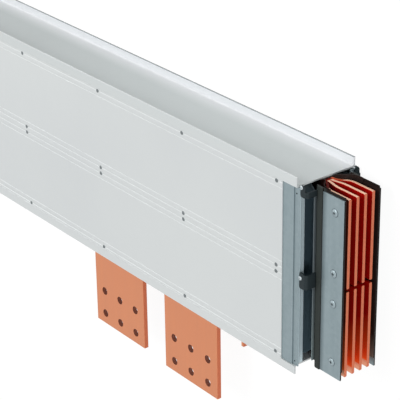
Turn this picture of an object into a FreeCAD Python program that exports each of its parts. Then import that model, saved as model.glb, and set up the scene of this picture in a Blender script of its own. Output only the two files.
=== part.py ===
"""One straight length of sandwich-type busway with its joint end open.

It lies on its far side panel, as it does unheld on a floor.
X runs along the busway, +X at the joint end. Y runs across the casing height, +Y at
the top channel, and the connection plates point to -Y. Z runs across the casing width,
and the near side panel is on top. While a piece is made, X is 0 at the joint end of
the channels, and Y and Z are 0 on the casing's middle plane.
"""
import FreeCAD, Part
import math
import os
from FreeCAD import Vector

# Casing
run_length = 2000.0
casing_height = 404.0
casing_width = 140.0

# Top and bottom channels, with their flanges outward
channel_depth = 20.5
channel_sheet = 3.0
channel_inner_radius = 5.0
channel_edge_radius = 1.0

# Side panels, and the shallow rolled grooves that run along them
panel_sheet = 2.0
panel_setback = 39.0
panel_inset = 0.5
panel_gap = 0.5
groove_depth = 0.8
groove_half_width = 1.6
edge_groove = 4.4
field_groove = 16.0
middle_groove = 6.65
middle_field_groove = 19.0

# Plain cover on the far end of the run
cover_sheet = 3.0

# Galvanised band and angle at the joint end
band_sheet = 2.0
band_overlap = 22.0
band_end = -10.0
end_drop = 4.0
angle_sheet = 2.0
angle_reach = 5.0
angle_lap = 16.0
angle_leg = 10.6
angle_leg_shortfall = 3.7
angle_hole = 3.2
angle_hole_inset = 13.0
angle_low_hole_inset = 4.6
angle_hole_back = 9.5

# Copper bars in the pack
bar_thickness = 6.35
bar_split = 6.0
phase_insulation = 0.5
outer_insulation = 1.5
edge_insulation = 1.5
edge_insulation_reach = 3.0
pack_end_gap = 8.0

# The bars bend apart towards the joint
flare_start = 4.0
flare_end = 46.0
jaw_pitch = 18.7
joint_reach = 95.3
bar_setback = 2.4

# Core side sheets round the pack
core_sheet = 3.0
core_flange = 3.0
core_bend_start = -75.0
core_bend_end = -25.0
core_end_depth = 43.0
core_reach = 18.5
core_corner_run = 38.5
core_corner_rise = 34.0

# Strips, profiles and jaw plates of the joint
jaw_width = 87.6
strip_sheet = 2.0
strip_stand = 2.0
strip_shortfall = 9.5
profile_step = 4.6
profile_end = 38.4
profile_overhang = 2.5
profile_top_overhang = 5.7
profile_chamfer = 2.5
profile_edge_radius = 2.0
jaw_gap = 2.0
liner_thickness = 1.5
liner_low_end = 164.7
jaw_sheet = 3.0
jaw_overhang = 2.0
barrier_end = 54.0
barrier_overhang = 4.0
barrier_top_overhang = 7.2
rivet_radius = 8.1
rivet_rise = 2.8
rivet_setback = 23.3
rivet_edge = 30.35
rivet_middle = 30.75

# Black clips between angle and core
clip_sheet = 2.5
clip_overhang = 6.0
clip_height = 22.3
clip_shoulder = 10.0
clip_middle_height = 32.4
clip_middle_top = 14.0
clip_middle_shoulder = 2.0
clip_foot = 1.0
clip_corner_radius = 4.0
clip_bend_radius = 3.5

# Connection plates below the casing
plate_thickness = 10.0
plate_width = 175.0
plate_drop = 230.5
plate_first = -652.0
plate_spacing = 259.0
plate_edge_radius = 0.8
hole_pitch = 56.0
hole_diameter = 18.0
hole_from_bottom = 25.6
hole_columns = 3
hole_rows = 2
slot_clearance = 3.0
plate_shoulder = 2.5

# Earth tab across the bottom channel
tab_thickness = 6.0
tab_width = 40.0
tab_drop = 56.0
tab_place = -211.0
tab_corner_radius = 1.0

# Worked out from the sizes above
half_height = casing_height / 2
half_width = casing_width / 2
web_outer = half_height - channel_depth + channel_sheet
web_inner = half_height - channel_depth
panel_face = half_width - panel_inset
panel_back = panel_face - panel_sheet
panel_half_height = web_inner - panel_gap
pack_pitch = bar_thickness + phase_insulation
bar_top = web_inner - edge_insulation
bar_start = -run_length + pack_end_gap
pack_half = 1.5 * pack_pitch + bar_thickness / 2
core_face = pack_half + outer_insulation
core_end_middle = half_width - core_end_depth
jaw_face = jaw_width / 2
jaw_back = jaw_face - jaw_sheet
jaw_half_height = bar_top + jaw_overhang
liner_face = jaw_back - liner_thickness
strip_half_height = web_inner - strip_shortfall
strip_face = core_reach + strip_sheet
profile_low = -web_inner - profile_overhang
profile_top = web_inner + profile_top_overhang
profile_start = strip_face + profile_step
jaw_start = profile_end + jaw_gap
barrier_low = -web_inner - barrier_overhang
barrier_top = web_inner + barrier_top_overhang
angle_face = panel_back - band_sheet
angle_back = angle_face - angle_sheet
tongue_top = -bar_top
plate_top = -web_outer - plate_shoulder
plate_bottom = -half_height - plate_drop


def polygon_face(corners, place):
    """Face with corners (u, v, radius); place turns u and v into a point."""
    edges = []
    starts, ends = [], []
    count = len(corners)
    for i, (u, v, radius) in enumerate(corners):
        here = Vector(u, v, 0)
        before = Vector(*corners[i - 1][:2], 0) - here
        after = Vector(*corners[(i + 1) % count][:2], 0) - here
        before.normalize()
        after.normalize()
        if radius <= 0:
            starts.append((here, None))
            ends.append(here)
            continue
        half_turn = before.getAngle(after) / 2
        trim = radius / math.tan(half_turn)
        middle_way = before + after
        middle_way.normalize()
        bulge = here + middle_way * (radius / math.sin(half_turn) - radius)
        starts.append((here + before * trim, bulge))
        ends.append(here + after * trim)
    for i, (start, bulge) in enumerate(starts):
        if bulge is not None:
            edges.append(Part.Arc(place(start.x, start.y), place(bulge.x, bulge.y),
                                  place(ends[i].x, ends[i].y)).toShape())
        following = starts[(i + 1) % count][0]
        if (following - ends[i]).Length > 1e-6:
            edges.append(Part.LineSegment(place(ends[i].x, ends[i].y),
                                          place(following.x, following.y)).toShape())
    return Part.Face(Part.Wire(edges))


def along_run(corners, x_from, x_to):
    """Section with corners (y, z, radius), drawn out along the run."""
    face = polygon_face(corners, lambda y, z: Vector(x_from, y, z))
    return face.extrude(Vector(x_to - x_from, 0, 0))


def across_height(corners, y_from, y_to):
    """Plan with corners (x, z, radius), drawn out across the casing height."""
    face = polygon_face(corners, lambda x, z: Vector(x, y_from, z))
    return face.extrude(Vector(0, y_to - y_from, 0))


def block(x_from, x_to, y_from, y_to, z_from, z_to):
    return Part.makeBox(x_to - x_from, y_to - y_from, z_to - z_from,
                        Vector(x_from, y_from, z_from))


def far_side(shape):
    """The same piece on the far side."""
    return shape.mirror(Vector(0, 0, 0), Vector(0, 0, 1))


def underside(shape):
    """The same piece at the bottom of the casing."""
    return shape.mirror(Vector(0, 0, 0), Vector(0, 1, 0))


def offset_sheet(x_from, bend_from, bend_to, x_to, z_from, z_to, thickness, y_from, y_to):
    """Sheet or bar that runs along X and shifts outward in an S bend of two equal arcs."""
    run = bend_to - bend_from
    shift = z_to - z_from
    turn = 2 * math.atan(shift / run)
    radius = run / (2 * math.sin(turn))

    def on_first(r, angle):
        return Vector(bend_from + r * math.sin(angle), y_from, z_from + radius - r * math.cos(angle))

    def on_second(r, angle):
        return Vector(bend_to - r * math.sin(angle), y_from, z_to - radius + r * math.cos(angle))

    def side(offset):
        inner = radius - offset
        outer = radius + offset
        start = Vector(x_from, y_from, z_from + offset)
        end = Vector(x_to, y_from, z_to + offset)
        return [
            Part.LineSegment(start, on_first(inner, 0)).toShape(),
            Part.Arc(on_first(inner, 0), on_first(inner, turn / 2), on_first(inner, turn)).toShape(),
            Part.Arc(on_second(outer, turn), on_second(outer, turn / 2), on_second(outer, 0)).toShape(),
            Part.LineSegment(on_second(outer, 0), end).toShape(),
        ], start, end

    top, top_start, top_end = side(thickness / 2)
    low, low_start, low_end = side(-thickness / 2)
    edges = top + low + [
        Part.LineSegment(top_start, low_start).toShape(),
        Part.LineSegment(top_end, low_end).toShape(),
    ]
    wire = Part.Wire(Part.sortEdges(edges)[0])
    return Part.Face(wire).extrude(Vector(0, y_to - y_from, 0))


def channel():
    """Top channel: a web with two flanges that point up, open at the top."""
    outer = half_width
    inner = half_width - channel_sheet
    edge = channel_edge_radius
    return along_run([
        (web_inner, -outer, edge),
        (half_height, -outer, edge),
        (half_height, -inner, edge),
        (web_outer, -inner, channel_inner_radius),
        (web_outer, inner, channel_inner_radius),
        (half_height, inner, edge),
        (half_height, outer, edge),
        (web_inner, outer, edge),
    ], -run_length, 0)


def bottom_channel():
    """The same channel upside down, with slots for the plates' tongues and notched corners."""
    shape = underside(channel())
    for x, z in zip(plate_centres(), plate_bars()):
        half_length = plate_width / 2 + slot_clearance
        half_gap = bar_thickness / 2 + slot_clearance
        shape = shape.cut(block(x - half_length, x + half_length, -half_height, 0,
                                z - half_gap, z + half_gap))
    notch = block(-panel_setback, 0, -web_inner - end_drop, -web_inner,
                  angle_back - panel_gap, half_width)
    return shape.cut(notch).cut(far_side(notch))


def side_panel():
    """Near side panel with its shallow grooves."""
    rows = [panel_half_height - edge_groove, panel_half_height - field_groove,
            middle_field_groove, middle_groove]
    rows = rows + [-y for y in reversed(rows)]
    corners = [(panel_half_height, panel_back, 0), (panel_half_height, panel_face, 0)]
    for y in rows:
        corners += [(y + groove_half_width, panel_face, 0), (y, panel_face - groove_depth, 0),
                    (y - groove_half_width, panel_face, 0)]
    corners += [(-panel_half_height, panel_face, 0), (-panel_half_height, panel_back, 0)]
    return along_run(corners, -run_length, -panel_setback)


def end_cover():
    return block(-run_length - cover_sheet, -run_length, -half_height, half_height,
                 -half_width, half_width)


def end_band():
    """Flat galvanised band that the side panel laps over; its open part ends lower."""
    band = block(-panel_setback - band_overlap, band_end, -panel_half_height, panel_half_height,
                 angle_face, panel_back)
    foot = block(-panel_setback + panel_gap, band_end, -panel_half_height - end_drop,
                 -panel_half_height, angle_face, panel_back)
    return band.fuse(foot).removeSplitter()


def end_angle():
    """Folded angle behind the band; its face ends lower than the leg that is turned inward."""
    start = band_end - angle_lap
    leg_low = -panel_half_height + angle_leg_shortfall
    shape = across_height([
        (start, angle_face, 0),
        (angle_reach, angle_face, angle_sheet * 1.5),
        (angle_reach, angle_face - angle_leg, 0),
        (angle_reach - angle_sheet, angle_face - angle_leg, 0),
        (angle_reach - angle_sheet, angle_back, angle_sheet * 0.5),
        (start, angle_back, 0),
    ], leg_low, panel_half_height)
    foot = block(start, angle_reach - angle_sheet / 2, -panel_half_height - end_drop, leg_low,
                 angle_back, angle_face)
    shape = shape.fuse(foot).removeSplitter()
    for y in (panel_half_height - angle_hole_inset, angle_low_hole_inset - panel_half_height):
        drill = Part.makeCylinder(angle_hole / 2, angle_sheet * 3,
                                  Vector(angle_reach - angle_hole_back, y, angle_back - angle_sheet),
                                  Vector(0, 0, 1))
        shape = shape.cut(drill)
    return shape


def busbar(rank):
    """Upper bar of phase rank 1 or 2, counted from the near side."""
    side = 2.5 - rank
    return offset_sheet(bar_start, flare_start, flare_end, joint_reach - bar_setback,
                        side * pack_pitch, side * jaw_pitch, bar_thickness, bar_split / 2, bar_top)


def phase_sheet(gap):
    """Thin insulation between two bars; gap 0 is the middle one."""
    z = gap * pack_pitch
    half = phase_insulation / 2
    return block(bar_start, flare_start, -bar_top, bar_top, z - half, z + half)


def barrier_sheet():
    """Outer insulation of the pack: it bends out with the bars, and is taller past the webs."""
    half = outer_insulation / 2
    sheet = offset_sheet(bar_start, flare_start, flare_end, barrier_end, pack_half + half,
                         liner_face - half, outer_insulation, barrier_low, barrier_top)
    above_pack = block(bar_start, edge_insulation_reach, bar_top, barrier_top,
                       pack_half, core_face)
    return sheet.cut(above_pack).cut(underside(above_pack))


def edge_sheet():
    """Insulation between the bars' upper edges and the channel's web."""
    return block(bar_start, edge_insulation_reach, bar_top, bar_top + edge_insulation,
                 -core_face, core_face)


def core_side():
    """Sheet that holds the pack: flanges against the webs, corners cut off at its open end."""
    web = offset_sheet(bar_start, core_bend_start, core_bend_end, core_reach,
                       core_face + core_sheet / 2, core_end_middle, core_sheet,
                       -web_inner, web_inner)
    corner = Part.Face(Part.makePolygon([
        Vector(core_reach - core_corner_run, web_inner, 0),
        Vector(core_reach, web_inner, 0),
        Vector(core_reach, web_inner - core_corner_rise, 0),
        Vector(core_reach - core_corner_run, web_inner, 0),
    ])).extrude(Vector(0, 0, half_width))
    web = web.cut(corner).cut(underside(corner))
    shape = web
    flange_end = -panel_setback - band_overlap
    for side in (1, -1):
        y_outer = side * web_inner
        y_inner = side * (web_inner - core_flange)
        flange = block(bar_start, flange_end, min(y_outer, y_inner), max(y_outer, y_inner),
                       core_face + core_sheet / 2, panel_back)
        shape = shape.fuse(flange.cut(web))
    return shape.removeSplitter()


def side_strip():
    """Light strip across the end of the core side sheet."""
    return block(core_reach, strip_face, -strip_half_height, strip_half_height,
                 core_end_middle - core_sheet / 2, jaw_face + strip_stand)


def side_profile():
    """Black moulded profile: a bar beside the jaw plate, and the shorter liner behind it."""
    shape = across_height([
        (strip_face, liner_face, 0),
        (strip_face, jaw_back, 0),
        (profile_start, jaw_back, 0),
        (profile_start, jaw_face, 1.0),
        (profile_end, jaw_face, profile_edge_radius),
        (profile_end, jaw_back, 0),
        (joint_reach, jaw_back, 0),
        (joint_reach, liner_face, 0),
    ], profile_low, profile_top)
    notch = block(strip_face, profile_start, profile_low, -strip_half_height,
                  liner_face, jaw_face)
    short_liner = block(jaw_start, joint_reach, profile_low, -liner_low_end, liner_face, jaw_back)
    corner = Part.Face(Part.makePolygon([
        Vector(profile_start, profile_low, liner_face),
        Vector(profile_start + profile_chamfer, profile_low, liner_face),
        Vector(profile_start, profile_low + profile_chamfer, liner_face),
        Vector(profile_start, profile_low, liner_face),
    ])).extrude(Vector(0, 0, jaw_face - liner_face))
    return shape.cut(notch).cut(corner).cut(short_liner)


def jaw_plate():
    return block(jaw_start, joint_reach, -jaw_half_height, jaw_half_height, jaw_back, jaw_face)


def jaw_rivets():
    """Domed heads of the rivets on one jaw plate."""
    dome_radius = (rivet_radius ** 2 + rivet_rise ** 2) / (2 * rivet_rise)
    centre_z = jaw_face + rivet_rise - dome_radius
    x = joint_reach - rivet_setback
    outer_row = jaw_half_height - rivet_edge
    rivets = []
    for y in (outer_row, rivet_middle, -rivet_middle, -outer_row):
        ball = Part.makeSphere(dome_radius, Vector(x, y, centre_z))
        keep = Part.makeCylinder(rivet_radius * 1.5, rivet_rise * 2, Vector(x, y, jaw_face))
        rivets.append(ball.common(keep))
    return Part.makeCompound(rivets)


def clip(top, height, shoulder):
    """Black clip: a rounded lug beside the angle, and an arm that bends in to the strip."""
    front = strip_face + clip_sheet
    lug_end = strip_face - clip_bend_radius
    lug_back = angle_face - clip_sheet
    low = top - height
    arm = across_height([
        (angle_reach, lug_back, 0),
        (angle_reach, angle_face, 0),
        (front, angle_face, clip_bend_radius + clip_sheet),
        (front, jaw_back, 0),
        (strip_face, jaw_back, 0),
        (strip_face, lug_back, clip_bend_radius),
    ], low + clip_foot, top - shoulder)
    lug = polygon_face([
        (angle_reach, low, clip_corner_radius),
        (lug_end, low, clip_foot),
        (lug_end, top, clip_corner_radius),
        (angle_reach, top, clip_corner_radius),
    ], lambda x, y: Vector(x, y, lug_back)).extrude(Vector(0, 0, clip_sheet))
    corners = block(angle_reach, angle_reach + clip_corner_radius, low, top, lug_back, angle_face)
    return lug.fuse(arm.cut(corners)).removeSplitter()


def plate_centres():
    return [plate_first, plate_first + plate_spacing]


def plate_bars():
    """The two middle bars carry the plates: the third bar, then the second."""
    return [-pack_pitch / 2, pack_pitch / 2]


def connection_plate(x, z):
    """Drilled copper plate with a thinner tongue up to its bar."""
    half = plate_width / 2
    plate = block(x - half, x + half, plate_bottom, plate_top, z - plate_thickness / 2,
                  z + plate_thickness / 2)
    upright = [edge for edge in plate.Edges
               if abs(edge.Vertexes[0].Point.y - edge.Vertexes[1].Point.y) > plate_drop / 2]
    plate = plate.makeFillet(plate_edge_radius, upright)
    tongue = block(x - half, x + half, plate_top, tongue_top, z - bar_thickness / 2,
                   z + bar_thickness / 2)
    shape = plate.fuse(tongue).removeSplitter()
    for column in range(hole_columns):
        for row in range(hole_rows):
            centre = Vector(x + (column - (hole_columns - 1) / 2) * hole_pitch,
                            plate_bottom + hole_from_bottom + row * hole_pitch,
                            z - plate_thickness)
            shape = shape.cut(Part.makeCylinder(hole_diameter / 2, plate_thickness * 2, centre,
                                                Vector(0, 0, 1)))
    return shape


def earth_tab():
    """Narrow copper tab on the underside of the bottom channel."""
    half = tab_width / 2
    low = -half_height - tab_drop
    face = polygon_face([(-half, -web_outer, 0), (half, -web_outer, 0), (half, low, tab_corner_radius),
                         (-half, low, tab_corner_radius)],
                        lambda z, y: Vector(tab_place - tab_thickness / 2, y, z))
    return face.extrude(Vector(tab_thickness, 0, 0))


def all_pieces():
    pieces = {
        "top_channel": channel(),
        "bottom_channel": bottom_channel(),
        "end_cover": end_cover(),
        "edge_insulation_top": edge_sheet(),
        "phase_insulation_middle": phase_sheet(0),
        "earth_tab": earth_tab(),
    }
    bottom_edge = underside(edge_sheet())
    for number, (x, z) in enumerate(zip(plate_centres(), plate_bars()), start=1):
        pieces[f"connection_plate_{number}"] = connection_plate(x, z)
        half_length = plate_width / 2 + phase_insulation
        half_gap = bar_thickness / 2 + phase_insulation / 2
        bottom_edge = bottom_edge.cut(block(x - half_length, x + half_length, -half_height, 0,
                                            z - half_gap, z + half_gap))
    pieces["edge_insulation_bottom"] = bottom_edge
    near = {
        "side_panel": side_panel(),
        "end_band": end_band(),
        "end_angle": end_angle(),
        "core_side": core_side(),
        "side_strip": side_strip(),
        "side_profile": side_profile(),
        "jaw_plate": jaw_plate(),
        "jaw_rivets": jaw_rivets(),
        "clip_top": clip(web_inner + clip_overhang, clip_height, clip_shoulder),
        "clip_middle": clip(clip_middle_top, clip_middle_height, clip_middle_shoulder),
        "phase_insulation": phase_sheet(1),
        "barrier_insulation": barrier_sheet(),
    }
    for name, shape in near.items():
        pieces[name + "_near"] = shape
        pieces[name + "_far"] = far_side(shape)
    for rank in (1, 2):
        upper = busbar(rank)
        opposite = 5 - rank
        pieces[f"busbar_{rank}_upper"] = upper
        pieces[f"busbar_{rank}_lower"] = underside(upper)
        pieces[f"busbar_{opposite}_upper"] = far_side(upper)
        pieces[f"busbar_{opposite}_lower"] = far_side(underside(upper))
    return pieces


# The row's origin is under the middle of the whole object
shift = Vector(-(joint_reach - run_length - cover_sheet) / 2, -(half_height + plate_bottom) / 2,
               half_width)

os.makedirs("parts", exist_ok=True)
for name, shape in all_pieces().items():
    shape.translate(shift)
    shape.exportStep(f"parts/{name}.step")
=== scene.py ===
"""Looks of the busway section: finishes, screws, rivet heads, light and camera."""
import math

import bmesh
import bpy
from mathutils import Matrix, Vector


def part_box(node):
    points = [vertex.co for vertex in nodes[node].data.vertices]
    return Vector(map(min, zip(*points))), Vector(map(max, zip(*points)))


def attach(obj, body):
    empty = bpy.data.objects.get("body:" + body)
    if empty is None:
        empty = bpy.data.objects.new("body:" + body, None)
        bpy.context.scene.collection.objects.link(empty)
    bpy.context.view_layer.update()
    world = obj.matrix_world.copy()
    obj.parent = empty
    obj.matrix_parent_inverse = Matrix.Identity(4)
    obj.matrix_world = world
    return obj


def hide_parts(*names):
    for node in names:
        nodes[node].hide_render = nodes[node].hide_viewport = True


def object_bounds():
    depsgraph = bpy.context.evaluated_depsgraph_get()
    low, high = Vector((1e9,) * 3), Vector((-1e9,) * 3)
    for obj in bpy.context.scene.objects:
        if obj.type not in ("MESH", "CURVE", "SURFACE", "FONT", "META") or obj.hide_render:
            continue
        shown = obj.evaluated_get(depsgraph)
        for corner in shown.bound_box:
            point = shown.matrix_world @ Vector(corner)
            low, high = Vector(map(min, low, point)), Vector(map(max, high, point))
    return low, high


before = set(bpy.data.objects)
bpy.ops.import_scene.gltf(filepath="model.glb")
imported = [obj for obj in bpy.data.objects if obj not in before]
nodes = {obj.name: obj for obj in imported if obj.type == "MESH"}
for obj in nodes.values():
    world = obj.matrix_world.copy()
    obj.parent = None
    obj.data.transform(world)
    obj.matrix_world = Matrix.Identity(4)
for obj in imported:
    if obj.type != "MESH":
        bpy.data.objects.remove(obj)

cad_low, cad_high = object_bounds()

# All lengths and places are in metres, in the part's own frame.

# Camera
camera_place = Vector((2.9994, 1.6081, 1.9627))
camera_forward = Vector((-0.70715, -0.43788, -0.55516))
camera_up = Vector((-0.33543, 0.89894, -0.28176))
camera_lens = 155.06
camera_sensor = 36.0
camera_clip = 0.1, 200.0

# Lamps: the direction that each one shines from, its size and its power
lamp_distance = 9.0
lamps = {
    "key_lamp": (Vector((-0.12, 0.42, 0.86)), 4.6, 380.0),
    "side_lamp": (Vector((-0.86, -0.10, 0.50)), 2.2, 55.0),
    "front_lamp": (Vector((0.88, 0.05, 0.45)), 3.0, 210.0),
}
world_level = 0.42

# Floor, with its paint as the light meets it and as the camera sees it
floor_size = 60.0
floor_drop = 0.0003
floor_paint = 0.8
floor_shown_paint = 0.10
floor_own_light = 0.93

# Panel screws
screw_columns = 8
screw_pitch = 0.2754
screw_setback = 0.0158
screw_edge = 0.0044
screw_middle = 0.00665
screw_radius = 0.0040
screw_rise = 0.00045

# A screw head's turned outline, in shares of its radius and its rise; the cross begins at the fifth
screw_outline = (
    (1.0, 0.0), (1.0, 0.35), (0.92, 0.75), (0.75, 1.0), (0.55, 1.0), (0.495, 0.4), (0.22, 0.3),
)
screw_cross_from = 4
screw_segments = 24

# Clip screws, placed from a clip's lower edge; their tip is a share of the shank's radius
clip_screw_radius = 0.0040
clip_screw_rise = 0.0014
clip_screw_shank = 0.0022
clip_screw_tail = 0.0060
clip_screw_point_from = 0.0051
clip_screw_tip = 0.6
clip_screw_setback = 0.0026
clip_screw_height = {"clip_top": 0.0185, "clip_middle": 0.021}

# Rivets of the jaw plates: how far the two inner ones lie from the middle
rivet_middle = 0.03075

# A rivet head's turned outline, in shares of its radius and its rise, and its bands of painted
# shade
rivet_foot = 0.97
rivet_rim = 0.08
rivet_arm = 0.4
rivet_recess = (0.85, 0.5), (0.3, 0.6)
rivet_steps = 6
rivet_rim_bands = 2
rivet_recess_bands = 3
rivet_segments = 48

# A cross recess: half the width of an arm, as a share of its reach
cross_arm = 0.28

# The barrier's top corner is cut off along a line between these distances from the casing, which
# drops this far; the corners that move lie within the top band
barrier_cut_start = 0.003
barrier_cut_end = 0.016
barrier_cut_drop = 0.0062
barrier_top_band = 0.001

# Drilled walls lie at least this far from a plate's edges
bore_margin = 0.008

# Small holes of the end angles: distances from the angle's edge and from the panel's two ends
angle_hole_back = 0.0095
angle_hole_inset = 0.013
angle_low_hole_inset = 0.0046
angle_hole_reach = 0.0018

# Beads along a panel's long edges, and how far their edges keep off the two faces that they join
bead_lap = 0.0004
bead_width = 0.0015
bead_depth = 0.0008
bead_over_panel = 0.00003
bead_under_flange = 0.00002
bead_slope = (0.3, 0.2), (0.7, 0.65)

# The small break on sharp edges and the rounding of the bars' long edges, each with the angle
# between two faces that it begins at
edge_break = 0.0003
break_from = math.radians(40)
bar_edge = 0.0014
bar_edge_from = 0.7

# Turned pieces look smooth where their faces meet at less than this
smooth_up_to = math.radians(30)

# Corners this close together are one; places are compared after rounding to 1 / places_per_metre
same_place = 1e-6
places_per_metre = 1e5

# A channel's painted light and shade: the painted highlight in the corner of its web, where the
# web's painted shade turns lighter along the section, the far flange's skin of painted light, the
# rim on top of both flanges (painted shade on the far one, a painted highlight on the near one),
# and the near flange's outer skin of painted shade
flange_thickness = 0.003
corner_width = 0.042
corner_power = 1.3
web_turn = 0.05, 0.5
flange_skin = 0.0012
rim_height = 0.0014
outer_skin = 0.004, 0.002

# The first strip of a jaw plate, with its painted shadow, and the darker outer rim of an end
# angle's leg, outside its painted light
jaw_strip_width = 0.011
leg_rim = 0.0045, 0.0025

# Painted shadow covers the bars' tops for these distances from the casing, with a soft end
bar_shadow_reach = 0.012
far_shadow_reach = 0.028
near_shadow_reach = 0.037
shadow_fade = 0.004

# Heights above the casing's lower edge where the bars' painted glow of light from below begins and
# where the painted reflection at their foot ends
glow_start = 0.115
glow_end = 0.018
foot_reflection_end = 0.016
foot_reflection_fade = 0.002

# How far down a bar's top edge reaches, and how far back its sawn end
bar_top_depth = 0.012
bar_end_depth = 0.004

# The core sheets are painted lighter between these depths below the casing's upper edge
lid_light_band = 0.034, 0.012

# The film inside a profile ends this far above the profile's foot, its painted light reaches this
# far up it, and this much of the profile's own thickness looks like film
liner_end = 0.0193
liner_light = 0.050
liner_skin = 0.0004

# A profile's top edge darkens over this length from the jaw plate's start
jaw_fade = 0.008

# Shares of the specks, crystals and tarnish in their finishes
speck_share = 0.12
crystal_share = 0.2
tarnish_share = 0.2

# Levels of gloss and of metal, where more than one finish or place needs them
plain_specular = 0.5
zinc_specular = 0.5
zinc_metallic = 0.4
jaw_end_specular = 0.08
bar_metallic = 0.25
glow_metallic = 0.6

# Colours as on screen, from 0 to 255; a finish goes from the first of two to the second
paint_tones = (208, 212, 213), (212, 216, 216)
paint_speck = 196, 202, 202
# Painted highlight on the walls of the panels' grooves
panel_groove_highlight = 238, 242, 242
# Painted light and shade of the top channel: the web's shade, its corner highlight, the far
# flange's light, the far rim's shade, the near flange's shade and the near rim's highlight
web_shade_tones = (197, 204, 204), (210, 217, 217)
web_corner_highlight = 246, 248, 250
far_flange_light = 234, 236, 239
far_rim_shade = 152, 158, 161
near_flange_shade_tones = (193, 199, 199), (210, 215, 215)
near_rim_highlight = 219, 224, 224
zinc_tones = (131, 147, 152), (143, 158, 163)
# A painted shadow on the first strip of a jaw plate
jaw_shadow = 88, 102, 107
jaw_ends = 26, 18, 16
# Painted light on an end angle's leg, and the darker tone of its outer rim
angle_leg_light_tones = (196, 212, 218), (158, 174, 180)
strip_tones = (88, 97, 101), (104, 113, 117)
# Painted light towards the foot of the side strips
strip_foot_light = 128, 142, 143
bright_tones = (182, 192, 196), (204, 212, 216)
plate_tones = (207, 129, 87), (217, 140, 98)
plate_tarnish = 200, 124, 90
# Painted shade on the sheared sides of the connection plates
plate_side_shade = 204, 108, 68
# Painted shade on the drilled walls
bore_shade_tones = (112, 56, 36), (136, 72, 48)
# Painted shade between the bars, red as from light bounced between them, and darker beside the
# first bar
gap_shade_tones = (177, 13, 6), (187, 19, 9)
near_gap_shade_tones = (80, 30, 20), (94, 38, 26)
# A painted glow of light from below low on the bars, and a painted reflection at their foot
bar_glow = 252, 106, 40
bar_foot_reflection = 240, 168, 136
# A painted highlight on the bars' top edges, and painted shadow on them near the casing
bar_top_highlight_tones = (250, 198, 166), (255, 212, 184)
bar_top_shadow = 96, 16, 6
far_top_shadow = 206, 104, 72
bar_sawn_tones = (206, 114, 84), (216, 127, 97)
clip_tones = (34, 42, 45), (44, 53, 56)
core_tones = (80, 101, 113), (90, 111, 123)
# Painted light at the foot of the core sheets and under the channel's web
core_foot_light = 105, 128, 140
core_lid_light = 112, 126, 132
profile_tones = (43, 48, 46), (51, 56, 54)
liner_tones = (34, 22, 19), (42, 29, 26)
# Painted light at the foot of the film inside the profiles
liner_foot_light = 124, 106, 96
profile_dark = 26, 19, 16
film_tones = (26, 18, 16), (44, 34, 31)
# Painted shade: the near barrier is the same film as the far one, painted darker
near_barrier_shade_tones = (26, 11, 8), (38, 16, 11)
far_barrier_tones = (30, 21, 19), (42, 32, 29)
socket_tones = (104, 111, 113), (128, 135, 137)
rivet_tones = (146, 161, 166), (158, 173, 178)
# Painted shade on the rivet heads' rims and recesses
rivet_shade_tones = (62, 74, 79), (76, 88, 94)
# Painted shade in the end angles' small holes
hole_tones = (22, 26, 28), (30, 34, 36)

# Places on the casing
casing_low, casing_high = (corner.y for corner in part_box("side_panel_near"))
casing_middle = (casing_high + casing_low) / 2
web_far, web_near = (corner.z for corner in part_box("top_channel"))
casing_centre = (web_far + web_near) / 2
joint_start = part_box("top_channel")[1].x


def linear(red, green, blue):
    """Scene colour of a colour written as 0 to 255 on screen."""
    def channel(value):
        value /= 255
        return value / 12.92 if value <= 0.04045 else ((value + 0.055) / 1.055) ** 2.4
    return (channel(red), channel(green), channel(blue), 1.0)


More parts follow.
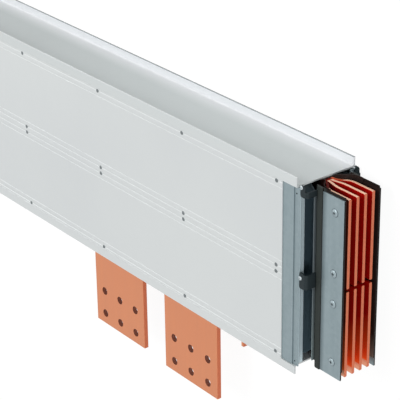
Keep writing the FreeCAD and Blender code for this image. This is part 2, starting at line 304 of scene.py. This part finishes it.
class Finish:
    """One procedural material, with short calls for the nodes that it needs."""

    def __init__(self, name, metallic=0.0, specular=plain_specular):
        self.material = bpy.data.materials.new(name)
        self.material.use_nodes = True
        self.tree = self.material.node_tree
        self.shader = self.tree.nodes["Principled BSDF"]
        self.place = self.tree.nodes.new("ShaderNodeTexCoord").outputs["Object"]
        self.metallic(metallic)
        self.specular(specular)

    def fill(self, socket, value):
        """Gives a socket the value of another one, a screen colour or a number."""
        if hasattr(value, "is_linked"):
            self.tree.links.new(value, socket)
        elif isinstance(value, tuple):
            socket.default_value = linear(*value)
        else:
            socket.default_value = value

    def stretched(self, x=1.0, y=1.0, z=1.0):
        """The place, drawn out along an axis where its factor is below 1."""
        mapping = self.tree.nodes.new("ShaderNodeMapping")
        mapping.inputs["Scale"].default_value = (x, y, z)
        self.fill(mapping.inputs["Vector"], self.place)
        return mapping.outputs["Vector"]

    def noise(self, scale, detail=3.0, place=None):
        node = self.tree.nodes.new("ShaderNodeTexNoise")
        node.inputs["Scale"].default_value = scale
        node.inputs["Detail"].default_value = detail
        self.fill(node.inputs["Vector"], place or self.place)
        return node.outputs["Fac"]

    def cells(self, scale):
        """A random grey for each crystal."""
        node = self.tree.nodes.new("ShaderNodeTexVoronoi")
        node.inputs["Scale"].default_value = scale
        self.fill(node.inputs["Vector"], self.place)
        split = self.tree.nodes.new("ShaderNodeSeparateColor")
        self.fill(split.inputs["Color"], node.outputs["Color"])
        return split.outputs["Red"]

    def ramp(self, value, low=0.0, high=1.0, to_low=0.0, to_high=1.0):
        """value, where low to high become to_low to to_high."""
        node = self.tree.nodes.new("ShaderNodeMapRange")
        numbers = {"From Min": low, "From Max": high, "To Min": to_low, "To Max": to_high}
        self.fill(node.inputs["Value"], value)
        for name, number in numbers.items():
            self.fill(node.inputs[name], number)
        return node.outputs["Result"]

    def math(self, operation, first, second=0.0):
        node = self.tree.nodes.new("ShaderNodeMath")
        node.operation = operation
        self.fill(node.inputs[0], first)
        self.fill(node.inputs[1], second)
        return node.outputs["Value"]

    def times(self, first, second):
        return self.math("MULTIPLY", first, second)

    def mix(self, share, first, second):
        """Colour first, turning to second as share goes to 1."""
        node = self.tree.nodes.new("ShaderNodeMix")
        node.data_type = "RGBA"
        colours = [socket for socket in node.inputs if socket.type == "RGBA"]
        self.fill(node.inputs["Factor"], share)
        self.fill(colours[0], first)
        self.fill(colours[1], second)
        return next(socket for socket in node.outputs if socket.type == "RGBA")

    def along(self, axis):
        """The place's coordinate on an axis."""
        split = self.tree.nodes.new("ShaderNodeSeparateXYZ")
        self.fill(split.inputs["Vector"], self.place)
        return split.outputs[axis]

    def off_centre(self):
        """Distance from the casing's middle plane."""
        return self.math("ABSOLUTE", self.math("SUBTRACT", self.along("Z"), casing_centre))

    def facing(self, axis, low, high):
        """0 to 1 as the surface turns to face along an axis, either way."""
        geometry = self.tree.nodes.new("ShaderNodeNewGeometry")
        split = self.tree.nodes.new("ShaderNodeSeparateXYZ")
        self.fill(split.inputs["Vector"], geometry.outputs["Normal"])
        return self.ramp(self.math("ABSOLUTE", split.outputs[axis]), low, high)

    def colour(self, value):
        self.fill(self.shader.inputs["Base Color"], value)

    def metallic(self, value):
        self.fill(self.shader.inputs["Metallic"], value)

    def specular(self, value):
        self.fill(self.shader.inputs["Specular IOR Level"], value)

    def roughness(self, grain, smooth, rough, low=0.3, high=0.7):
        """Goes from smooth to rough as the grain goes from low to high."""
        self.fill(self.shader.inputs["Roughness"], self.ramp(grain, low, high, smooth, rough))

    def bump(self, height, strength, distance):
        node = self.tree.nodes.new("ShaderNodeBump")
        node.inputs["Strength"].default_value = strength
        node.inputs["Distance"].default_value = distance
        self.fill(node.inputs["Height"], height)
        self.fill(self.shader.inputs["Normal"], node.outputs["Normal"])


def plain_tone(finish):
    cloud = finish.ramp(finish.noise(scale=2.4), low=0.35, high=0.65)
    return finish.mix(cloud, *paint_tones)


def panel_tone(finish):
    """Painted highlight: the walls of a panel's grooves are painted lighter, as if they catch the
    light.
    """
    return finish.mix(finish.facing("Y", low=0.2, high=0.4), plain_tone(finish), panel_groove_highlight)


def channel_light_and_shade(finish):
    """Painted light and shade: the web is painted in shade that lightens along the run, with a
    painted highlight towards its far corner; the far flange is painted light with painted shade on
    its rim, and the near flange's outer skin is painted in shade that lightens along the run, with
    a painted highlight on its rim.
    """
    across, run = finish.along("Z"), finish.along("X")
    inside = web_far + flange_thickness
    corner = finish.math("POWER", finish.ramp(across, inside + corner_width, inside), corner_power)
    web = finish.mix(corner, finish.mix(finish.ramp(run, *web_turn), *web_shade_tones), web_corner_highlight)
    flange = finish.math("LESS_THAN", across, inside + flange_skin)
    rim = finish.math("GREATER_THAN", finish.along("Y"), cad_high.y - rim_height)
    web = finish.mix(flange, web, far_flange_light)
    web = finish.mix(finish.times(flange, rim), web, far_rim_shade)
    outer = finish.mix(finish.ramp(run, cad_low.x, cad_high.x), *near_flange_shade_tones)
    outer = finish.mix(rim, outer, near_rim_highlight)
    start, end = (web_near - depth for depth in outer_skin)
    return finish.mix(finish.ramp(across, start, end), web, outer)


def white_paint(name, tone=plain_tone):
    """Powder coat: satin, with a fine orange peel."""
    finish = Finish(name)
    speck = finish.ramp(finish.noise(scale=900.0, detail=2.0), low=0.3, high=0.7)
    finish.colour(finish.mix(finish.times(speck, speck_share), tone(finish), paint_speck))
    finish.roughness(finish.noise(scale=60.0), smooth=0.42, rough=0.52)
    finish.bump(finish.noise(scale=700.0, detail=2.0), strength=0.12, distance=0.0004)
    return finish.material


def angle_leg_light(finish, zinc):
    """Painted light: the leg that turns into the casing is painted lighter, but not along its outer
    rim.
    """
    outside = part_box("end_angle_near")[1].z - casing_centre
    start, end = (outside - depth for depth in leg_rim)
    leg = finish.mix(finish.ramp(finish.off_centre(), start, end), *angle_leg_light_tones)
    return finish.mix(finish.facing("X", low=0.7, high=0.95), zinc, leg)


def jaw_shade(finish, zinc):
    """The face's first strip has a painted shadow, and the cut ends are dark and dull."""
    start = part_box("jaw_plate_near")[0].x
    strip = finish.ramp(finish.along("X"), start + jaw_strip_width, start)
    cut = finish.facing("X", low=0.7, high=0.95)
    finish.specular(finish.ramp(cut, to_low=zinc_specular, to_high=jaw_end_specular))
    finish.metallic(finish.ramp(cut, to_low=zinc_metallic, to_high=0.0))
    return finish.mix(cut, finish.mix(strip, zinc, jaw_shadow), jaw_ends)


def galvanised_steel(name, shade=None):
    """Zinc coat: faint flat crystals and rolling streaks."""
    finish = Finish(name, metallic=zinc_metallic)
    crystal = finish.times(finish.cells(scale=140.0), crystal_share)
    streak = finish.noise(scale=90.0, detail=4.0, place=finish.stretched(y=0.06))
    streak = finish.times(streak, 1 - crystal_share)
    grain = finish.ramp(finish.math("ADD", crystal, streak), low=0.25, high=0.75)
    zinc = finish.mix(grain, *zinc_tones)
    finish.colour(shade(finish, zinc) if shade else zinc)
    finish.roughness(streak, smooth=0.4, rough=0.5, low=0.2, high=0.6)
    finish.bump(streak, strength=0.06, distance=0.0004)
    return finish.material


def strip_steel():
    """The duller steel of the strips beside the jaws, with painted light towards the bottom."""
    finish = Finish("strip_steel", metallic=0.3)
    grain = finish.noise(scale=260.0, place=finish.stretched(y=0.1))
    foot = finish.ramp(finish.along("Y"), casing_middle, casing_low)
    finish.colour(finish.mix(foot, finish.mix(grain, *strip_tones), strip_foot_light))
    finish.roughness(grain, smooth=0.4, rough=0.55)
    return finish.material


def bright_zinc():
    """The clean plating of the clips' screws."""
    finish = Finish("bright_zinc", metallic=0.9)
    grain = finish.noise(scale=500.0)
    finish.colour(finish.mix(grain, *bright_tones))
    finish.roughness(grain, smooth=0.22, rough=0.34)
    return finish.material


def copper_plate():
    """Rolled copper: long grain, a little tarnish, and painted shade on the sheared sides, which
    are darker and redder.
    """
    finish = Finish("copper_plate", metallic=0.3)
    grain = finish.noise(scale=120.0, detail=5.0, place=finish.stretched(y=0.04))
    tarnish = finish.ramp(finish.noise(scale=9.0, detail=4.0), low=0.35, high=0.7)
    face = finish.mix(grain, *plate_tones)
    face = finish.mix(finish.times(tarnish, tarnish_share), face, plate_tarnish)
    finish.colour(finish.mix(finish.facing("X", low=0.6, high=0.9), face, plate_side_shade))
    finish.roughness(grain, smooth=0.4, rough=0.52)
    finish.bump(grain, strength=0.05, distance=0.0003)
    return finish.material


def copper_bore_shade():
    """Drilled wall, darkened with painted shade."""
    finish = Finish("copper_bore_shade", metallic=0.1)
    ring = finish.noise(scale=300.0, place=finish.stretched(x=0.1, y=0.1))
    finish.colour(finish.mix(ring, *bore_shade_tones))
    finish.roughness(ring, smooth=0.4, rough=0.55)
    return finish.material


def copper_bar(name, tones, shadow_reach, film=bar_top_shadow):
    """Drawn copper: painted shade between the bars, a painted glow of light from below lower down
    with a painted reflection at the foot, and on the top edges a painted highlight, with painted
    shadow near the casing.
    """
    finish = Finish(name, specular=0.0)
    grain = finish.noise(scale=160.0, detail=5.0, place=finish.stretched(x=0.04))
    height, run = finish.along("Y"), finish.along("X")

    # Painted glow of light coming in from below, and a painted reflection at the foot
    glow = finish.ramp(height, casing_low + glow_start, casing_low + glow_end)
    foot_reflection_start = casing_low + foot_reflection_end
    foot_reflection = finish.ramp(height, foot_reflection_start, foot_reflection_start - foot_reflection_fade)
    broad = finish.mix(glow, finish.mix(grain, *tones), bar_glow)
    broad = finish.mix(foot_reflection, broad, bar_foot_reflection)

    # Painted shadow on the top edges near the casing, giving way to the painted highlight
    shadow_end = joint_start + shadow_reach
    clean = finish.ramp(run, shadow_end - shadow_fade, shadow_end)
    top = finish.mix(clean, film, finish.mix(grain, *bar_top_highlight_tones))
    high_up = finish.math("GREATER_THAN", height, casing_high - bar_top_depth)
    on_top = finish.times(finish.facing("Y", low=0.6, high=0.9), high_up)

    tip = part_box("busbar_1_upper")[1].x
    at_tip = finish.math("GREATER_THAN", run, tip - bar_end_depth)
    cut = finish.times(finish.facing("X", low=0.8, high=0.95), at_tip)

    colour = finish.mix(on_top, broad, top)
    finish.colour(finish.mix(cut, colour, finish.mix(grain, *bar_sawn_tones)))
    finish.metallic(finish.ramp(glow, to_low=bar_metallic, to_high=glow_metallic))
    finish.roughness(grain, smooth=0.28, rough=0.36)
    return finish.material


def clip_tone(finish, grain):
    return finish.mix(grain, *clip_tones)


def core_tone(finish, grain):
    """Painted light: lighter towards the bottom, and under the channel's web."""
    height = finish.along("Y")
    foot = finish.ramp(height, casing_middle, casing_low)
    start, end = (casing_high - depth for depth in lid_light_band)
    coat = finish.mix(foot, finish.mix(grain, *core_tones), core_foot_light)
    return finish.mix(finish.ramp(height, start, end), coat, core_lid_light)


def profile_tone(finish, grain):
    """Brown film on the inside with painted light at its foot, and dark ends and top edge."""
    height = finish.along("Y")
    profile_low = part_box("side_profile_near")[0]
    foot = profile_low.y + liner_end
    liner = finish.mix(grain, *liner_tones)
    liner = finish.mix(finish.ramp(height, foot + liner_light, foot), liner, liner_foot_light)
    liner_edge = profile_low.z - casing_centre + liner_skin
    inner = finish.math("LESS_THAN", finish.off_centre(), liner_edge)
    black = finish.mix(inner, finish.mix(grain, *profile_tones), liner)
    jaw_start, jaw_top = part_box("jaw_plate_near")[0].x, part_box("jaw_plate_near")[1].y
    by_jaw = finish.ramp(finish.along("X"), jaw_start, jaw_start + jaw_fade)
    over_jaw = finish.times(finish.math("GREATER_THAN", height, jaw_top), by_jaw)
    dark = finish.math("MAXIMUM", finish.facing("X", low=0.8, high=0.95), over_jaw)
    return finish.mix(dark, black, profile_dark)


def black_moulding(name, tone):
    """Matt black with a fine grain."""
    finish = Finish(name, specular=0.15)
    grain = finish.noise(scale=420.0, detail=4.0)
    finish.colour(tone(finish, grain))
    finish.roughness(grain, smooth=0.5, rough=0.65)
    finish.bump(grain, strength=0.1, distance=0.0003)
    return finish.material


def insulating_film(name, tones, specular):
    """Dark film, slightly glossy, with faint waves."""
    finish = Finish(name, specular=specular)
    wave = finish.noise(scale=38.0)
    finish.colour(finish.mix(wave, *tones))
    finish.roughness(wave, smooth=0.4, rough=0.55)
    finish.bump(wave, strength=0.1, distance=0.001)
    return finish.material


def dull_metal(name, tones):
    """Plain metal of small parts, with a fine grain; also painted shade on the rivet heads and in
    small holes.
    """
    finish = Finish(name, metallic=0.5)
    grain = finish.noise(scale=800.0)
    finish.colour(finish.mix(grain, *tones))
    finish.roughness(grain, smooth=0.34, rough=0.5)
    return finish.material


paint = white_paint("white_paint")
galvanised = galvanised_steel("galvanised_steel")
copper = copper_plate()
# Painted shade for the drilled walls
bore = copper_bore_shade()
insulation = insulating_film("insulating_film", film_tones, specular=0.35)
dark_metal = dull_metal("dark_socket", socket_tones)
rivet_metal = dull_metal("rivet_metal", rivet_tones)
rivet_shade = dull_metal("rivet_shade", rivet_shade_tones)
hole_shade = dull_metal("hole_shade", hole_tones)
zinc = bright_zinc()

# Finish of each solid, by how its name begins; the first that fits is taken
finishes = {
    "top_channel": white_paint("channel_paint", channel_light_and_shade),
    "bottom_channel": paint,
    "side_panel": white_paint("panel_paint", panel_tone),
    "end_cover": paint,
    "end_band": galvanised,
    "end_angle": galvanised_steel("angle_steel", angle_leg_light),
    "jaw_plate": galvanised_steel("jaw_steel", jaw_shade),
    "side_strip": strip_steel(),
    "jaw_rivets": galvanised,
    "connection_plate": copper,
    "earth_tab": copper,
    "busbar_1": copper_bar("copper_bar_near", near_gap_shade_tones, near_shadow_reach),
    "busbar_4": copper_bar("copper_bar_far", gap_shade_tones, far_shadow_reach, far_top_shadow),
    "busbar": copper_bar("copper_bar", gap_shade_tones, bar_shadow_reach),
    "clip": black_moulding("black_clip", clip_tone),
    "side_profile": black_moulding("black_profile", profile_tone),
    "core_side": black_moulding("black_coat", core_tone),
    "phase_insulation": insulation,
    "edge_insulation": insulation,
    # The near barrier's film carries painted shade
    "barrier_insulation_near": insulating_film(
        "barrier_film_near", near_barrier_shade_tones, specular=0.08),
    "barrier_insulation_far": insulating_film(
        "barrier_film_far", far_barrier_tones, specular=0.2),
}


def dress_nodes():
    """Gives each solid its finish and a small break on its sharp edges."""
    for name, node in nodes.items():
        family = next(key for key in finishes if name.startswith(key))
        node.data.materials.clear()
        node.data.materials.append(finishes[family])
        join_corners(node)
        if family.startswith("busbar"):
            round_long_edges(node)
        break_edges(node)


def join_corners(piece):
    """Makes one vertex of those that lie in one place, so that edges can be broken."""
    weld = piece.modifiers.new("weld", "WELD")
    weld.merge_threshold = same_place


def break_edges(piece):
    """Small break on a piece's sharp edges, with its flat faces kept flat."""
    edges = piece.modifiers.new("edge_break", "BEVEL")
    edges.width = edge_break
    edges.segments = 2
    edges.limit_method = "ANGLE"
    edges.angle_limit = break_from
    flats = piece.modifiers.new("flat_faces", "WEIGHTED_NORMAL")
    flats.weight = 100


def round_long_edges(bar):
    """Rounds the edges between a bar's broad faces and its upper and lower edges."""
    data = bar.data

    def place(index):
        return tuple(round(value * places_per_metre) for value in data.vertices[index].co)

    sides = {}
    for polygon in data.polygons:
        for pair in polygon.edge_keys:
            sides.setdefault(frozenset(map(place, pair)), []).append(polygon.normal)
    weights = data.attributes.new("bevel_weight_edge", "FLOAT", "EDGE")
    for edge in data.edges:
        first, second = (place(index) for index in edge.vertices)
        faces = sides[frozenset((first, second))]
        lengthwise = first[0] != second[0] and first[1] == second[1]
        if lengthwise and faces[0].angle(faces[-1]) > bar_edge_from:
            weights.data[edge.index].value = 1.0
    rounding = bar.modifiers.new("rounding", "BEVEL")
    rounding.width = bar_edge
    rounding.segments = 3
    rounding.limit_method = "WEIGHT"


def is_wall(polygon):
    """Whether a face stands upright on the broad faces of a sheet."""
    return abs(polygon.normal.z) < 0.5


def darken_bores(name):
    """Gives the drilled walls of a connection plate their own finish, a painted shade."""
    plate = nodes[name]
    low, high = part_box(name)
    plate.data.materials.append(bore)
    for polygon in plate.data.polygons:
        inside = low.x + bore_margin < polygon.center.x < high.x - bore_margin
        if inside and is_wall(polygon) and polygon.center.y > low.y + bore_margin:
            polygon.material_index = 1


def darken_holes(side):
    """Gives the walls of the two small holes of an end angle their own finish, a painted shade."""
    name = f"end_angle_{side}"
    angle = nodes[name]
    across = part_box(name)[1].x - angle_hole_back
    angle.data.materials.append(hole_shade)
    for polygon in angle.data.polygons:
        centre = polygon.center
        for height in (casing_high - angle_hole_inset, casing_low + angle_low_hole_inset):
            off_hole = math.hypot(centre.x - across, centre.y - height)
            if off_hole < angle_hole_reach and is_wall(polygon):
                polygon.material_index = 1


def faces_of(node, side):
    """Inner and outer face of a node on one side of the casing, and the direction outward."""
    low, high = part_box(node)
    if side == "near":
        return low.z, high.z, Vector((0, 0, 1))
    return high.z, low.z, Vector((0, 0, -1))


def cross_radius(radius, angle):
    """Outline of a cross recess: how far it goes from its middle at an angle."""
    quarter = math.pi / 2
    off_arm = abs((angle + quarter / 2) % quarter - quarter / 2)
    return min(radius, radius * cross_arm / max(math.sin(off_arm), 0.01))


def lathe(mesh, profile, centre, axis, segments, cross_from=None, dark_bands=()):
    """Turns points (radius, height) about axis through centre; from ring cross_from on, in a cross.

    Faces between two rings get the second finish where dark_bands lists them, and so does the end.
    """
    side = Vector((1, 0, 0)) if abs(axis.x) < 0.9 else Vector((0, 1, 0))
    first = axis.cross(side).normalized()
    second = axis.cross(first)
    rings = []
    for number, (radius, height) in enumerate(profile):
        ring = []
        for i in range(segments):
            angle = 2 * math.pi * i / segments
            reach = radius
            if cross_from is not None and number >= cross_from:
                reach = cross_radius(radius, angle)
            way = first * math.cos(angle) + second * math.sin(angle)
            ring.append(mesh.verts.new(centre + axis * height + way * reach))
        rings.append(ring)
    for band, (low, high) in enumerate(zip(rings, rings[1:])):
        for i in range(segments):
            j = (i + 1) % segments
            face = mesh.faces.new((low[i], low[j], high[j], high[i]))
            face.material_index = 1 if band in dark_bands else 0
    end = mesh.faces.new(rings[-1])
    end.material_index = 1 if dark_bands else 0
    mesh.faces.new(reversed(rings[0]))


def new_piece(name, mesh, finish, second_finish=None):
    mesh.normal_update()
    bmesh.ops.recalc_face_normals(mesh, faces=mesh.faces)
    data = bpy.data.meshes.new(name)
    mesh.to_mesh(data)
    mesh.free()
    piece = bpy.data.objects.new(name, data)
    bpy.context.scene.collection.objects.link(piece)
    data.materials.append(finish)
    if second_finish:
        data.materials.append(second_finish)
    data.set_sharp_from_angle(angle=smooth_up_to)
    for polygon in data.polygons:
        polygon.use_smooth = True
    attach(piece, "root")
    return piece


def screw_head(mesh, centre, axis, radius, rise):
    """Low round head with a turned rim and a cross recess."""
    outline = [(radius * wide, rise * high) for wide, high in screw_outline]
    lathe(mesh, outline, centre, axis, screw_segments, screw_cross_from)


def panel_screws(side):
    """All the screws of one side panel."""
    panel = f"side_panel_{side}"
    low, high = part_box(panel)
    _, face, outward = faces_of(panel, side)
    middle = (low.y + high.y) / 2
    half = (high.y - low.y) / 2 - screw_edge
    mesh = bmesh.new()
    for column in range(screw_columns):
        x = high.x - screw_setback - column * screw_pitch
        if x < low.x:
            continue
        for y in (half, screw_middle, -screw_middle, -half):
            centre = Vector((x, middle + y, face))
            screw_head(mesh, centre, outward, screw_radius, screw_rise)
    new_piece(f"panel_screws_{side}", mesh, dark_metal)


def rivet_outline(radius, rise):
    """A rivet head's turned outline: rim, dome and recess."""
    outline = [(radius * rivet_foot, 0.0), (radius, rise * rivet_rim)]
    for step in range(1, rivet_steps + 1):
        share = 1 - (1 - rivet_arm) * step / rivet_steps
        outline.append((radius * share, rise * (rivet_rim + (1 - rivet_rim) * (1 - share ** 2))))
    arm, top = radius * rivet_arm, outline[-1][1]
    outline.append((arm, top))
    outline += [(arm * wide, top - rise * deep) for wide, deep in rivet_recess]
    return outline


def rivet_heads(side):
    """Domed rivet heads with a cross recess, in place of the plain domes; their rims and recesses
    carry painted shade.
    """
    node = f"jaw_rivets_{side}"
    low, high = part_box(node)
    face, _, outward = faces_of(node, side)
    radius = (high.x - low.x) / 2
    middle = (low.y + high.y) / 2
    outer_row = (high.y - low.y) / 2 - radius
    outline = rivet_outline(radius, high.z - low.z)
    bands = len(outline) - 1
    recess_start = len(outline) - rivet_recess_bands
    dark = set(range(rivet_rim_bands)) | set(range(recess_start, bands))
    mesh = bmesh.new()
    for y in (outer_row, rivet_middle, -rivet_middle, -outer_row):
        centre = Vector(((low.x + high.x) / 2, middle + y, face))
        lathe(mesh, outline, centre, outward, rivet_segments, recess_start, dark)
    heads = new_piece(f"rivet_heads_{side}", mesh, rivet_metal, rivet_shade)
    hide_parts(node)


def clip_screw(clip, side):
    """Screw that holds a clip's lug to the angle, with its tail inside."""
    node = f"{clip}_{side}"
    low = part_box(node)[0]
    _, face, outward = faces_of(node, side)
    centre = Vector((low.x + clip_screw_setback, low.y + clip_screw_height[clip], face))
    mesh = bmesh.new()
    screw_head(mesh, centre, outward, clip_screw_radius, clip_screw_rise)
    tail = [
        (clip_screw_shank, 0.0),
        (clip_screw_shank, clip_screw_point_from),
        (clip_screw_shank * clip_screw_tip, clip_screw_tail),
    ]
    lathe(mesh, tail, centre, -outward, screw_segments)
    new_piece(f"{clip}_screw_{side}", mesh, zinc)


def panel_bead(side):
    """Beads that close the seams between a panel's long edges and the channels' flanges."""
    panel = f"side_panel_{side}"
    low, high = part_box(panel)
    _, face, outward = faces_of(panel, side)
    step = abs(faces_of("top_channel", side)[1] - face)
    section = [
        (-bead_lap, -bead_depth),
        (-bead_lap, bead_over_panel),
        *((bead_width * wide, step * high_up) for wide, high_up in bead_slope),
        (bead_width, step - bead_under_flange),
        (bead_width, -bead_depth),
    ]
    mesh = bmesh.new()
    for edge, away in ((high.y, 1), (low.y, -1)):
        first, last = (
            [mesh.verts.new((x, edge + away * across, face + outward.z * out))
             for across, out in section]
            for x in (low.x, high.x)
        )
        for i in range(len(section)):
            j = (i + 1) % len(section)
            mesh.faces.new((first[i], first[j], last[j], last[i]))
        mesh.faces.new(reversed(first))
        mesh.faces.new(last)
    new_piece(f"panel_bead_{side}", mesh, paint)


def barrier_film(side):
    """The barrier sheet with its top corner cut off where it comes out under the web."""
    node = f"barrier_insulation_{side}"
    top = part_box(node)[1].y
    data = nodes[node].data.copy()
    cut_end = joint_start + barrier_cut_end
    slope = barrier_cut_drop / (barrier_cut_end - barrier_cut_start)
    for vertex in data.vertices:
        if joint_start < vertex.co.x < cut_end and vertex.co.y > top - barrier_top_band:
            vertex.co.y = top - slope * (cut_end - vertex.co.x)
    sheet = bpy.data.objects.new(f"barrier_film_{side}", data)
    bpy.context.scene.collection.objects.link(sheet)
    join_corners(sheet)
    break_edges(sheet)
    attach(sheet, "root")
    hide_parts(node)


def make_camera():
    camera = bpy.data.objects.new("camera", bpy.data.cameras.new("camera"))
    camera.data.lens = camera_lens
    camera.data.sensor_width = camera_sensor
    camera.data.clip_start, camera.data.clip_end = camera_clip
    forward = camera_forward.normalized()
    right = forward.cross(camera_up).normalized()
    up = right.cross(forward)
    turn = Matrix((right, up, -forward)).transposed()
    camera.matrix_world = Matrix.Translation(camera_place) @ turn.to_4x4()
    bpy.context.scene.collection.objects.link(camera)
    bpy.context.scene.camera = camera


def shown_ray(tree):
    """1 on rays that show the backdrop: from the camera, in gloss and through glass."""
    path = tree.nodes.new("ShaderNodeLightPath")
    total = path.outputs["Is Camera Ray"]
    for name in ("Is Glossy Ray", "Is Transmission Ray"):
        largest = tree.nodes.new("ShaderNodeMath")
        largest.operation = "MAXIMUM"
        tree.links.new(total, largest.inputs[0])
        tree.links.new(path.outputs[name], largest.inputs[1])
        total = largest.outputs["Value"]
    return total


def floor_material():
    """Pale paint that lights the object, and that looks white with a soft shadow."""
    material = bpy.data.materials.new("floor")
    material.use_nodes = True
    tree = material.node_tree
    tree.nodes.remove(tree.nodes["Principled BSDF"])
    lighting, shown = (tree.nodes.new("ShaderNodeBsdfDiffuse") for _ in range(2))
    lighting.inputs["Color"].default_value = (floor_paint,) * 3 + (1,)
    shown.inputs["Color"].default_value = (floor_shown_paint,) * 3 + (1,)
    glow = tree.nodes.new("ShaderNodeEmission")
    glow.inputs["Strength"].default_value = floor_own_light
    both = tree.nodes.new("ShaderNodeAddShader")
    tree.links.new(shown.outputs[0], both.inputs[0])
    tree.links.new(glow.outputs[0], both.inputs[1])
    choice = tree.nodes.new("ShaderNodeMixShader")
    tree.links.new(shown_ray(tree), choice.inputs["Fac"])
    tree.links.new(lighting.outputs[0], choice.inputs[1])
    tree.links.new(both.outputs[0], choice.inputs[2])
    tree.links.new(choice.outputs[0], tree.nodes["Material Output"].inputs["Surface"])
    return material


def make_floor():
    mesh = bmesh.new()
    bmesh.ops.create_grid(mesh, x_segments=1, y_segments=1, size=floor_size / 2)
    data = bpy.data.meshes.new("floor")
    mesh.to_mesh(data)
    mesh.free()
    data.materials.append(floor_material())
    floor = bpy.data.objects.new("floor", data)
    floor.location.z = -floor_drop
    bpy.context.scene.collection.objects.link(floor)


def make_world():
    """Even white world, dimmer as a light than as a backdrop."""
    world = bpy.data.worlds.new("world")
    bpy.context.scene.world = world
    world.use_nodes = True
    tree = world.node_tree
    background = tree.nodes["Background"]
    background.inputs["Color"].default_value = (1, 1, 1, 1)
    level = tree.nodes.new("ShaderNodeMapRange")
    level.inputs["To Min"].default_value = world_level
    level.inputs["To Max"].default_value = 1.0
    tree.links.new(shown_ray(tree), level.inputs["Value"])
    tree.links.new(level.outputs["Result"], background.inputs["Strength"])


def make_lamp(name, direction, size, power):
    """Square soft lamp that shines on the object from a direction."""
    lamp = bpy.data.lights.new(name, "AREA")
    lamp.size = size
    lamp.energy = power
    holder = bpy.data.objects.new(name, lamp)
    holder.location = direction.normalized() * lamp_distance
    holder.rotation_mode = "QUATERNION"
    holder.rotation_quaternion = (-direction).to_track_quat("-Z", "Y")
    bpy.context.scene.collection.objects.link(holder)


dress_nodes()
for number in (1, 2):
    darken_bores(f"connection_plate_{number}")
for side in ("near", "far"):
    darken_holes(side)
    barrier_film(side)
    panel_bead(side)
    panel_screws(side)
    rivet_heads(side)
    for clip in clip_screw_height:
        clip_screw(clip, side)

make_camera()
make_floor()
make_world()
for name, (direction, size, power) in lamps.items():
    make_lamp(name, direction, size, power)
bpy.context.scene.view_settings.view_transform = "Standard"
